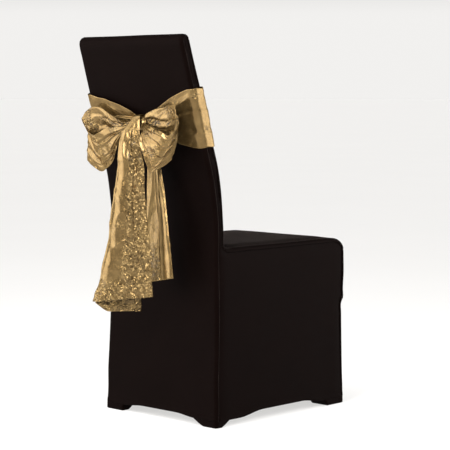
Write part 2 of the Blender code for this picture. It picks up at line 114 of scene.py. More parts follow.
def half_width(z):
    return np.interp(z, *zip(*HALF_WIDTHS))


def rear_line(z):
    return RAKE_START[0] + RAKE_SLOPE * (z - RAKE_START[1])


def on_back(across, out, up):
    """Place in the raked back's frame: across, out of the rear face, up the face."""
    return (across, rear_line(BOW_HEIGHT) + up * RAKE_SIN + out * RAKE_COS,
            BOW_HEIGHT + up * RAKE_COS - out * RAKE_SIN)


# %% [markdown]
# ## Camera, light and floor
# The camera looks at the cover from behind and its right, almost level, through a long
# lens. A product is lit with large soft boxes: metal cloth shows what is around it, so
# the boxes give it its bright streaks, and the floor and the dim upper room its brown
# ones. The room is pale at the horizon, where it meets the floor without a visible edge.

# %% Camera
VIEW_TARGET = Vector((-0.188, -0.057 + base_y, 0.5374 + floor_z))
VIEW_AZIMUTH = 223.836
VIEW_ELEVATION = 4.534
VIEW_DISTANCE = 4.33
LENS_MM = 129.97
SENSOR_MM = 36.0


def towards(azimuth, elevation):
    """Direction from the target to a viewer or a lamp, azimuth 0 being in front."""
    turn, rise = math.radians(azimuth), math.radians(elevation)
    return Vector((math.sin(turn) * math.cos(rise), -math.cos(turn) * math.cos(rise),
                   math.sin(rise)))


def aim(item, place, target):
    item.location = place
    item.rotation_euler = (target - place).to_track_quat("-Z", "Y").to_euler()


camera = bpy.data.objects.new("camera", bpy.data.cameras.new("camera"))
bpy.context.scene.collection.objects.link(camera)
camera.data.lens = LENS_MM
camera.data.sensor_width = SENSOR_MM
aim(camera, VIEW_TARGET + towards(VIEW_AZIMUTH, VIEW_ELEVATION) * VIEW_DISTANCE, VIEW_TARGET)
bpy.context.scene.camera = camera
print("camera at", tuple(round(part, 3) for part in camera.location))

# %% Soft boxes, sun and floor
LAMPS = (
    # name, azimuth, elevation, distance, width, height, watts
    ("box_left", 142.0, 14.0, 2.6, 2.3, 2.2, 84.0),
    ("box_right", 318.0, 14.0, 2.6, 1.8, 2.2, 64.0),
    ("box_near_left", 198.0, 26.0, 3.2, 1.1, 1.3, 84.0),
    ("box_near_right", 243.0, 26.0, 3.2, 1.1, 1.3, 84.0),
)
LIT_PLACE = Vector((0.0, -0.2, floor_z + 0.6))
for name, azimuth, elevation, distance, width, height, watts in LAMPS:
    lamp = bpy.data.objects.new(name, bpy.data.lights.new(name, "AREA"))
    bpy.context.scene.collection.objects.link(lamp)
    lamp.data.shape = "RECTANGLE"
    lamp.data.size = width
    lamp.data.size_y = height
    lamp.data.energy = watts
    aim(lamp, LIT_PLACE + towards(azimuth, elevation) * distance, LIT_PLACE)

sun = bpy.data.objects.new("sun", bpy.data.lights.new("sun", "SUN"))
bpy.context.scene.collection.objects.link(sun)
sun.data.energy = 2.2
sun.data.angle = math.radians(50.0)
aim(sun, towards(150.0, 64.0), Vector())

ROOM_TONES = ((0.05, (0.885, 0.875, 0.86)), (0.16, (0.17, 0.168, 0.165)))
room = bpy.data.worlds.new("room")
bpy.context.scene.world = room
room.use_nodes = True
room_nodes, room_links = room.node_tree.nodes, room.node_tree.links
room_spot = room_nodes.new("ShaderNodeTexCoord")
room_split = room_nodes.new("ShaderNodeSeparateXYZ")
room_ramp = room_nodes.new("ShaderNodeValToRGB")
for stop, (position, colour) in zip(room_ramp.color_ramp.elements, ROOM_TONES):
    stop.position = position
    stop.color = (*colour, 1.0)
room_links.new(room_spot.outputs["Generated"], room_split.inputs[0])
room_links.new(room_split.outputs["Z"], room_ramp.inputs["Fac"])
room_links.new(room_ramp.outputs["Color"], room_nodes["Background"].inputs["Color"])
bpy.context.scene.view_settings.view_transform = "Standard"

FLOOR_SIZE = 800.0            # so large that its far edge lies at the horizon
bpy.ops.object.select_all(action="DESELECT")
bpy.ops.mesh.primitive_plane_add(size=FLOOR_SIZE, location=(0.0, 0.0, floor_z - 0.0005))
floor = bpy.context.object
floor.name = "floor"
print(len(LAMPS), "soft boxes and a wide sun")

# %% [markdown]
# ## Writing materials
# A material is a small program made of nodes. Two helpers let it be written as one: a
# Wire is a number on its way through the nodes, with + - * between Wires, and a Finish
# is a material with one method that adds any other node. The floor comes first. It
# glows a little, as a lit studio floor does, so it stays as pale far off as near.

# %% Wires and finishes
class Wire:
    """One socket's value; Python's + - * adds the Math nodes."""

    def __init__(self, finish, socket):
        self.finish = finish
        self.socket = socket

    def math(self, operation, first, second):
        return self.finish.node("ShaderNodeMath", {"operation": operation},
                                {0: first, 1: second})

    def __add__(self, other):
        return self.math("ADD", self, other)

    def __sub__(self, other):
        return self.math("SUBTRACT", self, other)

    def __rsub__(self, other):
        return self.math("SUBTRACT", other, self)

    def __mul__(self, other):
        return self.math("MULTIPLY", self, other)

    __radd__, __rmul__ = __add__, __mul__

    def between(self, low, high):
        """0 below low, 1 above high, soft in the middle."""
        return self.finish.node("ShaderNodeMapRange", {"interpolation_type": "SMOOTHSTEP"},
                                {"Value": self, "From Min": low, "From Max": high})


class Finish:
    """A material on one Principled shader, written node by node."""

    def __init__(self, name, **constants):
        self.material = bpy.data.materials.new(name)
        self.material.use_nodes = True
        self.tree = self.material.node_tree
        self.shader = self.tree.nodes["Principled BSDF"]
        for socket, value in constants.items():
            self.shader.inputs[socket.replace("_", " ")].default_value = value

    def feed(self, socket, value):
        if isinstance(value, Wire):
            self.tree.links.new(value.socket, socket)
        else:
            socket.default_value = value

    def node(self, kind, settings, values, output=0):
        new = self.tree.nodes.new(kind)
        for key, value in settings.items():
            setattr(new, key, value)
        for key, value in values.items():
            self.feed(new.inputs[key], value)
        return Wire(self, new.outputs[output])

    def cloth_place(self):
        """The piece's own UV map, in metres."""
        return self.node("ShaderNodeUVMap", {"uv_map": "cloth"}, {})

    def noise(self, place, scale, detail=3.0):
        return self.node("ShaderNodeTexNoise", {},
                         {"Vector": place, "Scale": scale, "Detail": detail})

    def colour_mix(self, factor, first, second):
        return self.node("ShaderNodeMix", {"data_type": "RGBA"},
                         {0: factor, 6: first, 7: second}, 2)

    def bump(self, height, distance, strength=1.0, under=None):
        values = {"Height": height, "Distance": distance, "Strength": strength}
        if under:
            values["Normal"] = under
        return self.node("ShaderNodeBump", {}, values)


# %% Floor finish
floor_finish = Finish("pale_floor", Roughness=0.9, Emission_Strength=0.62,
                      Emission_Color=(1.0, 0.99, 0.97, 1.0))
floor_spot = floor_finish.node("ShaderNodeTexCoord", {}, {}, 3)
floor_tone = floor_finish.noise(floor_spot, 0.8)
floor_colour = floor_finish.colour_mix(floor_tone, (0.29, 0.285, 0.28, 1), (0.32, 0.315, 0.31, 1))
floor_finish.feed(floor_finish.shader.inputs["Base Color"], floor_colour)
floor.data.materials.append(floor_finish.material)
print("floor at", round(floor_z, 4))

# %% [markdown]
# ## The cover's knit
# Stretch knit is matt and very dark, with fine ribs and a faint sheen where it is seen
# at a low angle. The ribs are a wave along each piece's UV map, which is in metres, so
# they keep one size on every panel. The hems and seams are shaped in the mesh.

# %% Knit finish
RIB = 0.0011                  # width of one rib of the knit
STITCH = 0.0014               # length of one stitch
WAVE_SPAN = 0.314             # metres from wave to wave of a wave texture of scale 1

knit = Finish("cover_knit", Roughness=0.62, Sheen_Weight=0.09, Sheen_Roughness=0.12,
              Sheen_Tint=(0.8, 0.6, 0.52, 1.0), Specular_IOR_Level=0.03,
              Specular_Tint=(0.9, 0.55, 0.48, 1.0))
knit_place = knit.cloth_place()


def knit_waves(direction, size, distortion):
    """Waves of a size, their crests in rows one way or the other."""
    return knit.node("ShaderNodeTexWave", {"bands_direction": direction},
                     {"Vector": knit_place, "Scale": WAVE_SPAN / size,
                      "Distortion": distortion, "Detail": 1.0, "Detail Scale": 4.0}, 1)


loops = knit_waves("X", RIB, 0.6) * 0.7 + knit_waves("Y", STITCH, 0.8) * 0.3
stretch = knit.noise(knit_place, 9.0, 4.0)
fuzz = knit.noise(knit_place, 900.0, 2.0)
tone = (stretch * 0.6 + loops * 0.25 + fuzz * 0.15).between(0.3, 0.72)
knit.feed(knit.shader.inputs["Base Color"],
          knit.colour_mix(tone, (0.0012, 0.0005, 0.0004, 1), (0.0021, 0.0010, 0.0008, 1)))
knit.feed(knit.shader.inputs["Roughness"], 0.54 + fuzz * 0.12 + stretch * 0.08)
pulled = knit.bump(stretch, 0.0012, 0.6)
knit.feed(knit.shader.inputs["Normal"], knit.bump(loops, 0.00016, 0.8, pulled))
print("knit nodes", len(knit.tree.nodes))

# %% [markdown]
# ## The sash's metallic cloth
# This cloth is a thin weave with metal on its face. It never lies smooth: it keeps every
# crease of its folding and crackles into small facets. The large creases are shaped in
# the mesh, further on. The finish adds the crackle from tilted cells of two sizes. It
# comes and goes over the cloth, and is strongest where the mesh's crinkle value is high.
# The threads under the metal are the share that isn't metallic.

# %% Gold finish
gold = Finish("sash_gold", Metallic=0.80, Roughness=0.24, Coat_Weight=0.16,
              Coat_Roughness=0.16, Specular_IOR_Level=0.5,
              Specular_Tint=(1.0, 0.76, 0.42, 1.0))
gold_place = gold.cloth_place()


def crinkle_height(size, steepness):
    """Small flat facets, each tilted its own way: one cell, one facet."""
    cell = gold.node("ShaderNodeTexVoronoi", {"voronoi_dimensions": "2D"},
                     {"Vector": gold_place, "Scale": 1.0 / size}, "Position")
    colour = Wire(gold, cell.socket.node.outputs["Color"])
    away = gold.node("ShaderNodeVectorMath", {"operation": "SUBTRACT"}, {0: gold_place, 1: cell})
    tilt = gold.node("ShaderNodeVectorMath", {"operation": "SUBTRACT"},
                     {0: colour, 1: (0.5, 0.5, 0.5)})
    return gold.node("ShaderNodeVectorMath", {"operation": "DOT_PRODUCT"},
                     {0: away, 1: tilt}, 1) * steepness


crinkled = gold.node("ShaderNodeAttribute", {"attribute_name": "crinkle"}, {}, 2)
patches = (gold.noise(gold_place, 22.0, 3.0) + crinkled * 0.55 - 0.30).between(0.36, 0.56)
wear = gold.noise(gold_place, 26.0, 5.0)
gold_tone = (wear * 0.8 + patches * 0.2).between(0.25, 0.75)
gold.feed(gold.shader.inputs["Base Color"],
          gold.colour_mix(gold_tone, (0.128, 0.079, 0.028, 1), (0.226, 0.150, 0.061, 1)))
gold.feed(gold.shader.inputs["Roughness"], 0.17 + wear * 0.12 + patches * 0.05)
crinkles = (crinkle_height(0.0068, 1.3) + crinkle_height(0.0030, 1.3)) * (0.04 + patches * 0.96)
gold.feed(gold.shader.inputs["Normal"], gold.bump(crinkles, 1.0))
print("gold nodes", len(gold.tree.nodes))

# %% [markdown]
# ## Turning rows of points into cloth
# Every panel is a grid of points: rows one way, columns the other. Numpy keeps the grid
# as one array, so a relief can be added all over it along its normals in one line. The
# piece gets a UV map in metres, and a Solidify modifier gives the cloth its thickness.

# %% Grids, normals and finished sheets
def grid_normals(points):
    """Unit normals of a grid of points, rows by columns by 3."""
    down = np.gradient(points, axis=0)
    across = np.gradient(points, axis=1)
    normals = np.cross(across, down)
    return normals / np.maximum(np.linalg.norm(normals, axis=2, keepdims=True), 1e-12)


def grid_lengths(points, axis):
    """Distance in metres along the rows or the columns of a grid."""
    steps = np.linalg.norm(np.diff(points, axis=axis), axis=2)
    pad = [(0, 0), (0, 0)]
    pad[axis] = (1, 0)
    return np.cumsum(np.pad(steps, pad), axis=axis)


def grid_faces(deep, wide, flip=False):
    first = (np.arange(deep - 1)[:, None] * wide + np.arange(wide - 1)[None, :]).ravel()
    quads = np.stack([first, first + 1, first + wide + 1, first + wide], axis=1)
    return (quads[:, ::-1] if flip else quads).tolist()


def cloth_piece(name, points, faces, cloth_uv, thickness, closed=False, crinkle=None):
    """A sheet from points and faces, in its place, with its thickness inwards."""
    bpy.ops.object.select_all(action="DESELECT")
    mesh = bpy.data.meshes.new(name)
    places = np.asarray(points, float).reshape(-1, 3) + (0.0, base_y, floor_z)
    mesh.from_pydata(places.tolist(), [], faces)
    layer = mesh.uv_layers.new(name="cloth")
    corners = np.empty(len(mesh.loops), dtype=np.int32)
    mesh.loops.foreach_get("vertex_index", corners)
    layer.data.foreach_set("uv", np.asarray(cloth_uv, float).reshape(-1, 2)[corners].ravel())
    if crinkle is not None:
        amount = mesh.attributes.new("crinkle", "FLOAT", "POINT")
        amount.data.foreach_set("value", np.asarray(crinkle, np.float32).ravel())
    piece = bpy.data.objects.new(name, mesh)
    bpy.context.scene.collection.objects.link(piece)
    bpy.context.view_layer.objects.active = piece
    piece.select_set(True)
    if closed:
        weld = piece.modifiers.new("weld", "WELD")
        weld.merge_threshold = 0.00005
        bpy.ops.object.modifier_apply(modifier=weld.name)
    wall = piece.modifiers.new("thickness", "SOLIDIFY")
    wall.thickness = thickness
    wall.offset = -1.0
    bpy.ops.object.modifier_apply(modifier=wall.name)
    bpy.ops.object.shade_smooth()
    return piece


def dress(piece, finish, node, slot, **cloth):
    """Gives a piece its finish and its place on the body; its facts as a sheet are not used."""
    piece.data.materials.clear()
    piece.data.materials.append(finish.material)
    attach(piece, "root")
    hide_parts(node)
    print(piece.name, len(piece.data.polygons), "faces")


# %% [markdown]
# ## Smooth curves through a few points
# A side profile, a rim or a fold is a short list of places. The curve through them keeps
# each place and rounds between, and is then walked in steps of any size: finer near its
# ends, where a seam dips or a hem is sewn.

# %% Curves
def curve_through(points, spacing=0.002):
    """Dense points on a smooth curve through the given ones."""
    points = np.asarray(points, float)
    gaps = np.linalg.norm(np.diff(points, axis=0), axis=1)
    slopes = np.diff(points, axis=0) / gaps[:, None]
    tangents = np.empty_like(points)
    tangents[0], tangents[-1] = slopes[0], slopes[-1]
    weight = (gaps[:-1] / (gaps[:-1] + gaps[1:]))[:, None]
    tangents[1:-1] = slopes[:-1] * (1.0 - weight) + slopes[1:] * weight
    run = [points[:1]]
    for index, gap in enumerate(gaps):
        steps = max(2, round(gap / spacing))
        share = ((np.arange(steps) + 1.0) / steps)[:, None]
        square, cube = share ** 2, share ** 3
        run.append((2 * cube - 3 * square + 1) * points[index]
                   + (cube - 2 * square + share) * gap * tangents[index]
                   + (3 * square - 2 * cube) * points[index + 1]
                   + (cube - square) * gap * tangents[index + 1])
    return np.concatenate(run)


def walk(points, shares):
    """Points at shares, 0 to 1, of the length of a run of points."""
    length = np.concatenate([[0.0], np.cumsum(np.linalg.norm(np.diff(points, axis=0), axis=1))])
    return np.stack([np.interp(np.asarray(shares) * length[-1], length, points[:, axis])
                     for axis in range(points.shape[1])], axis=1)


# distances from an edge of the finer rows near it
EDGE_LAYERS = (0.0, 0.0012, 0.0025, 0.004, 0.0065, 0.0095, 0.0115, 0.0125, 0.014, 0.017)
PANEL_SPACING = 0.009         # distance between the other rows


def edge_shares(length):
    """Shares of a length in even steps, with finer layers near both ends."""
    layers = np.asarray(EDGE_LAYERS)
    inner = length - 2 * layers[-1]
    steps = round(inner / PANEL_SPACING)
    middle = layers[-1] + inner * np.arange(1, steps) / steps
    return np.concatenate([layers, middle, (length - layers)[::-1]]) / length


def run_length(points):
    return float(np.sum(np.linalg.norm(np.diff(points, axis=0), axis=1)))


def line_normals(line):
    """Unit normals of a side profile, outwards."""
    step = np.gradient(line, axis=0)
    step /= np.linalg.norm(step, axis=1, keepdims=True)
    return np.stack([step[:, 1], -step[:, 0]], axis=1)


# %% [markdown]
# ## The cover's side profile
# Seen from the side the cover is one line: up the rear, over the top, down the face a
# sitter leans on, over the seat and down the front. A maker cuts it into four panels.

# %% Profile
# each place is y and z in metres
BACK_FACE_AT_SEAT = -0.038
CREASE_ROUND = 0.012
FRONT_ROUND = (0.050, 0.035)
HEM_Z = SEAM_HEIGHT + SEAM_GAP
REAR_FACE = (
    (HEM_REAR_Y, HEM_Z), (0.006, 0.05), (0.006, 0.115), (0.003, 0.17),
    (-0.001, 0.27), (-0.002, 0.35), (-0.002, 0.45), (-0.002, 0.555),
    (0.0005, 0.58), (0.005, 0.611), RAKE_START,
)
LEANING_FACE = (
    (0.075, 1.000), (0.056, 0.938), (0.031, 0.86), (0.004, 0.768),
    (-0.019, 0.69), (-0.03, 0.626), (-0.0355, 0.562), (BACK_FACE_AT_SEAT, 0.51),
)
FRONT_FACE = (
    (SEAT_FRONT, 0.42), (SEAT_FRONT, 0.38), (-0.5285, 0.33), (-0.5275, 0.3),
    (-0.52, 0.29), (-0.5195, 0.26), (-0.52, 0.17), (-0.521, 0.09),
    (-0.522, 0.05), (-0.522, HEM_Z),
)


def arc(centre, radii, start, end, steps=8):
    angles = np.radians(np.linspace(start, end, steps + 1))
    return [(centre[0] + radii[0] * math.cos(angle), centre[1] + radii[1] * math.sin(angle))
            for angle in angles]


top_z = OVERALL_HEIGHT - TOP_ROUND
top_y = rear_line(top_z) - TOP_ROUND / RAKE_COS
rake = math.degrees(math.atan(RAKE_SLOPE))
top_arc = arc((top_y, top_z), (TOP_ROUND, TOP_ROUND), -rake, 180.0 - rake)
crease_y = BACK_FACE_AT_SEAT - CREASE_ROUND
crease_arc = arc((crease_y, SEAT_TOP + CREASE_ROUND), (CREASE_ROUND, CREASE_ROUND), 0, -90, 4)
roll_arc = arc((SEAT_FRONT + FRONT_ROUND[0], SEAT_TOP - FRONT_ROUND[1]), FRONT_ROUND, 90, 180)
straight = [(rear_line(z), z) for z in (0.72, 0.82, 0.92, 0.985)]
seat_run = [(lerp(crease_y, SEAT_FRONT + FRONT_ROUND[0], share), SEAT_TOP)
            for share in (0.1, 0.3, 0.5, 0.7, 0.9)]
profile = {
    "back": curve_through(list(REAR_FACE) + straight + top_arc),
    "leaning": curve_through([top_arc[-1]] + list(LEANING_FACE) + crease_arc[:3]),
    "seat": curve_through(crease_arc[2:] + seat_run + roll_arc),
    "front": curve_through([roll_arc[-1]] + list(FRONT_FACE)),
}
for part_name, line in profile.items():
    print(part_name, "panel runs", round(run_length(line), 3), "m")

# %% [markdown]
# ## Seams, hems and the pull of the cloth
# Where two panels meet, the cloth dips into the seam. At a hem it is turned up once, so
# it is thicker, with a stitched line above. Both are soft steps of the distance to an
# edge. A chair's corners also pull the cloth into very low waves.

# %% Reliefs of the cover
SEAM_DIP = 0.0011
SEAM_ROLL = 0.0045
HEM_DEPTH = 0.0125
HEM_PROUD = 0.0006
REAR_HEM_RISE = 0.0062        # each hem arches up by this much between the legs
FRONT_HEM_RISE = 0.0070
SIDE_HEM_RISE = 0.0112
HEM_FLAT_SHARE = 0.165        # shares of its width that lie flat and that bend up
HEM_BEND_SHARE = 0.18
HEM_FADE = 0.15               # the arch dies out this far above the hem


def seam_relief(distance):
    return -SEAM_DIP * (1.0 - smooth(distance / SEAM_ROLL)) ** 2


def hem_relief(distance):
    proud = HEM_PROUD * (1.0 - smooth((distance - HEM_DEPTH) / 0.0008))
    stitch = -0.0005 * np.exp(-((distance - HEM_DEPTH + 0.0010) / 0.0007) ** 2)
    edge = -0.0006 * (1.0 - smooth(distance / 0.0015))
    return proud + stitch + edge


def hem_arch(share):
    """0 where a hem lies on the foot pockets, 1 along its middle."""
    return smooth((np.minimum(share, 1.0 - share) - HEM_FLAT_SHARE) / HEM_BEND_SHARE)


def pull_relief(across, up):
    """Low waves that a stretched cloth keeps, under half a millimetre."""
    waves = 0.0
    for number, (stride_a, stride_u) in enumerate(((9, 4), (-5, 7), (3, -11), (14, 2))):
        waves = waves + np.sin(across * stride_a * 2.1 + up * stride_u * 1.9 + number * 1.7)
    return 0.00016 * waves


# %% Swept panels: rear, leaning face, seat and front
CURL_STEPS = 9
FLAT_SPACING = 0.010
CROWN_EDGE = 0.045            # the seat rises to its crown over this width


def swept_panel(name, line, start, end, rise=0.0, crowned=False):
    """A panel swept along the profile, its two sides curled on to the side panels."""
    shares = edge_shares(run_length(line))
    path = walk(line, shares)
    normals = line_normals(path)
    for edge, row in ((start, 0), (end, -1)):
        if edge == "hem":
            normals[row] = (math.copysign(1.0, normals[row, 0]), 0.0)
    flat_count = round(2 * (0.2 - CORNER_ROUND) / FLAT_SPACING)
    flat = np.linspace(-1.0, 1.0, flat_count + 1)
    curl = np.linspace(90.0, 0.0, CURL_STEPS + 1)[:-1]
    share = np.concatenate([-np.ones(CURL_STEPS), flat, np.ones(CURL_STEPS)])[None, :]
    angle = np.radians(np.concatenate([curl, np.zeros(flat.size), curl[::-1]]))[None, :]
    sink = CORNER_ROUND * (1.0 - np.cos(angle))
    ny, nz = normals[:, :1], normals[:, 1:]
    y = path[:, :1] - ny * sink
    z = path[:, 1:] - nz * sink
    width = half_width(z)
    side = np.sign(share) * np.ones_like(z)
    x = share * (width - CORNER_ROUND) + side * CORNER_ROUND * np.sin(angle)
    if rise:
        fade = np.clip(1.0 - (z - SEAM_HEIGHT) / HEM_FADE, 0.0, 1.0)
        z = z + rise * hem_arch((x / (width - CORNER_ROUND) + 1.0) / 2.0) * fade
    outward = np.stack([side * np.sin(angle), ny * np.cos(angle), nz * np.cos(angle)], axis=2)
    points = np.stack([x, y, z], axis=2)
    if crowned:
        swell = (smooth((width - CORNER_ROUND - np.abs(x)) / CROWN_EDGE)
                 * smooth((crease_y - y) / CROWN_EDGE)
                 * smooth((y - SEAT_FRONT - FRONT_ROUND[0]) / CROWN_EDGE + 0.3))
        points = points + outward * (SEAT_CROWN * swell)[..., None]
    along = grid_lengths(points, 0)
    across = grid_lengths(points, 1)
    total_along, total_across = along[-1:, :], across[:, -1:]
    relief = (seam_relief(np.minimum(across, total_across - across))
              + pull_relief(points[..., 0], points[..., 2] + points[..., 1]))
    for edge, distance in ((start, along), (end, total_along - along)):
        relief = relief + (hem_relief(distance) if edge == "hem" else seam_relief(distance))
    points = points + outward * relief[..., None]
    cloth_uv = np.stack([across - total_across / 2, along], axis=2)
    piece = cloth_piece(name, points, grid_faces(*points.shape[:2], flip=True), cloth_uv, CLOTH)
    size = (round(float(total_across.mean()), 3), round(float(total_along.mean()), 3))
    return piece, size


PANELS = (
    # node, stretch of the profile, first edge, last edge, rise of the hem, crowned
    ("back_panel", "back", "hem", "seam", REAR_HEM_RISE, False),
    ("inner_back_panel", "leaning", "seam", "seam", 0.0, False),
    ("seat_panel", "seat", "seam", "seam", 0.0, True),
    ("front_panel", "front", "seam", "hem", FRONT_HEM_RISE, False),
)
for node, stretch_name, start, end, rise, crowned in PANELS:
    piece, size = swept_panel(node + "_cloth", profile[stretch_name], start, end, rise, crowned)
    dress(piece, knit, node, "cover_knit", flat=size, held="stretched")

# %% [markdown]
# ## Side panels
# Each side is one L-shaped piece: its outline becomes one face, which is ringed near the
# seam and then cut by level and upright planes. Its edge dips and runs on under the
# curled edges of its neighbours, so no light comes through the seam.

# %% Side panels
SIDE_SPACING = 0.004
UNDERLAP = 0.003              # how far its edge runs on under its neighbours
TUCK_DEPTH = CLOTH + SEAM_DIP + 0.0009
TUCK_ROLL = 0.0026            # the dip takes this width
SEAM_RINGS = (0.0026, 0.0010, 0.0008, 0.0008, 0.0012)
HEM_CUTS = (0.0020, 0.0060, 0.0105, 0.0117, 0.0125, 0.0133, 0.0150)
SIDE_CUTS_Z = [HEM_Z + step for step in HEM_CUTS]
SIDE_CUTS_Z += [0.05 + 0.02 * step for step in range(50)]
SIDE_CUTS_Y = [-0.50 + 0.02 * step for step in range(42)]


def side_panel_cloth(name, side):
    """A side panel: its outline, ringed at the seam and cut into a grid."""
    whole = np.concatenate([profile["back"]] + [profile[part][1:] for part in
                                                ("leaning", "seat", "front")])
    seam = whole - line_normals(whole) * (CORNER_ROUND - UNDERLAP)
    seam = walk(seam, np.linspace(0, 1, round(run_length(seam) / SIDE_SPACING)))
    seam[0, 1] = seam[-1, 1] = HEM_Z
    rear_y, front_y = seam[0, 0], seam[-1, 0]
    hem = [(y, HEM_Z) for y in np.linspace(front_y, rear_y, 60)[1:-1]]
    work = bmesh.new()
    centre = work.faces.new([work.verts.new((0.0, y, z)) for y, z in list(seam) + hem])
    for thickness in SEAM_RINGS:
        bmesh.ops.inset_region(work, faces=[centre], thickness=thickness,
                               use_boundary=True, use_even_offset=True)
    cuts = [((0, 0, z), (0, 0, 1)) for z in SIDE_CUTS_Z]
    cuts += [((0, y, 0), (0, 1, 0)) for y in SIDE_CUTS_Y]
    for place, normal in cuts:
        bmesh.ops.bisect_plane(work, geom=work.verts[:] + work.edges[:] + work.faces[:],
                               plane_co=place, plane_no=normal)
    bmesh.ops.triangulate(work, faces=[face for face in work.faces if len(face.verts) > 4])
    work.normal_update()
    if sum(face.normal.x for face in work.faces) * side < 0:
        bmesh.ops.reverse_faces(work, faces=work.faces[:])
    work.verts.index_update()
    flat = np.array([vert.co[1:] for vert in work.verts])
    faces = [[vert.index for vert in face.verts] for face in work.faces]
    work.free()
    y, z = flat[:, 0], flat[:, 1]
    gaps = flat[:, None] - seam[None]
    to_seam = np.min(np.hypot(gaps[..., 0], gaps[..., 1]), axis=1)
    tucked = 1 - smooth((to_seam - UNDERLAP - SEAM_GAP) / TUCK_ROLL)
    relief = hem_relief(z - HEM_Z) + pull_relief(y, z) - TUCK_DEPTH * tucked
    share = (y - front_y) / (rear_y - front_y)
    lift = SIDE_HEM_RISE * hem_arch(share) * np.clip(1 - (z - SEAM_HEIGHT) / HEM_FADE, 0, 1)
    points = np.stack([side * (half_width(z) + relief), y, z + lift], axis=1)
    return cloth_piece(name, points, faces, flat, CLOTH)


SIDE_AREA = 0.233
for node, side in (("side_panel_left", 1), ("side_panel_right", -1)):
    piece = side_panel_cloth(node + "_cloth", side)
    dress(piece, knit, node, "cover_knit", flat=(0.55, 1.02), held="stretched", area=SIDE_AREA)

# %% [markdown]
# ## Foot pockets
# Small cups go under the legs and hold the hem down. Each is a round-cornered ring that
# is stacked from its seam down to the floor, turned in at the bottom and closed.

# %% Foot pockets
POCKETS = (
    # node, side, end, across, along, shorter across and along at the sole
    ("foot_pocket_rear_left", 1, 1, 0.073, 0.047, 0.002, 0.020),
    ("foot_pocket_rear_right", -1, 1, 0.088, 0.055, 0.034, 0.028),
    ("foot_pocket_front_left", 1, -1, 0.066, 0.079, 0.005, 0.004),
    ("foot_pocket_front_right", -1, -1, 0.066, 0.084, 0.005, 0.009),
)
POCKET_CORNER = 0.004
RING_POINTS = 97
# height above the floor, how far in, and how far down the taper, for each ring of a cup
POCKET_RINGS = (
    (0.018, 0.001, 0), (0.0172, 0.0002, 0.04), (0.0155, 0, 0.12), (0.012, 0.0002, 0.32),
    (0.008, 0, 0.55), (0.005, 0, 0.75), (0.003, 0, 0.9), (0.0015, 0.0004, 1),
    (0.0004, 0.0015, 1), (0, 0.003, 1), (0, 0.008, 1), (0, 0.014, 1),
)


def rounded_ring(low, high, outer, radii):
    """Round-cornered rectangle, closed; the corner named outer has the larger radius."""
    ring = []
    for x_end, y_end, start in ((1, 1, 0), (0, 1, 90), (0, 0, 180), (1, 0, 270)):
        radius = radii[0] if (x_end, y_end) == outer else radii[1]
        radius = max(radius, 0.0005)
        corner = (high[0] if x_end else low[0], high[1] if y_end else low[1])
        middle = (corner[0] + radius * (1 - 2 * x_end), corner[1] + radius * (1 - 2 * y_end))
        ring += arc(middle, (radius, radius), start, start + 90, 5)
    ring.append(ring[0])
    return walk(np.array(ring), np.linspace(0, 1, RING_POINTS))


def foot_pocket(name, side, end, across, length, less_across, less_along):
    rings = []
    outer_y = HEM_REAR_Y if end > 0 else FRONT_FACE[-1][0]
    for height, inset, taper in POCKET_RINGS:
        outer_x = side * (HALF_WIDTHS[0][1] - inset)
        inner_x = side * (HALF_WIDTHS[0][1] - across + taper * less_across + inset)
        edge_y = outer_y - end * inset
        inner_y = outer_y - end * (length - taper * less_along - inset)
        low = (min(outer_x, inner_x), min(edge_y, inner_y))
        high = (max(outer_x, inner_x), max(edge_y, inner_y))
        ring = rounded_ring(low, high, (int(side > 0), int(end > 0)),
                            (CORNER_ROUND - inset, POCKET_CORNER - inset))
        rings.append(np.column_stack([ring, np.full(len(ring), height)]))
    points = np.array(rings)
    middle = points[-1:].mean(axis=1, keepdims=True)
    points = np.concatenate([points, np.repeat(middle, RING_POINTS, axis=1)])
    cloth_uv = np.stack([grid_lengths(points, 1)[:1].repeat(len(points), 0),
                         grid_lengths(points, 0)], axis=2)
    faces = grid_faces(*points.shape[:2], flip=True)
    piece = cloth_piece(name, points, faces, cloth_uv, CLOTH, closed=True)
    wall = 2 * SEAM_HEIGHT
    size = (round(across + wall, 3), round(length + wall, 3))
    sole = (across - less_across) * (length - less_along)
    return piece, size, sole + wall * (across + length - (less_across + less_along) / 2)


for node, *sizes in POCKETS:
    piece, size, area = foot_pocket(node + "_cloth", *sizes)
    dress(piece, knit, node, "cover_knit", flat=size, held="stretched", area=round(area, 4))

# %% [markdown]
# ## How the sash is creased
# Three reliefs crease the sash. Folds are pleats that run along it, where it is gathered
# for the knot. Facets are the cloth's own habit: flat pieces that meet in sharp lines, in
# a coarse, a middle and a fine size. Presses are single long creases.

# %% Folds, facets and presses
SASH_CLOTH = 0.0010           # thickness of the sash
FACET_TABLE = (61, 67)        # heights drawn for the facets' corners, reused beyond
FACET_SIZES = (0.042, 0.019, 0.0085)
FOLD_STEP = 0.05              # share of the width in which a pleat drops
FOLD_WANDER = 0.015           # share of the width by which its line strays
SASH_COLUMNS = 72


def folds(share, run, count, seed):
    """Uneven knife pleats across a strip, 0 to 1, whose lines wander along it."""
    draw = np.random.default_rng(seed)
    ends = (np.arange(1, count) + draw.uniform(-0.25, 0.25, count - 1)) / count
    places, heights = [0.0], [draw.uniform(0.1, 0.4)]
    for end in ends:
        places += [end - FOLD_STEP / 2, end + FOLD_STEP / 2]
        heights += [draw.uniform(0.7, 1.0), draw.uniform(0.0, 0.25)]
    places.append(1.0)
    heights.append(draw.uniform(0.5, 0.8))
    drift = np.sin(run * 19.0 + share * 5.0 + seed) + np.sin(run * 41.0 - share * 7.0 + 2 * seed)
    return np.interp(share + FOLD_WANDER * drift, places, heights)


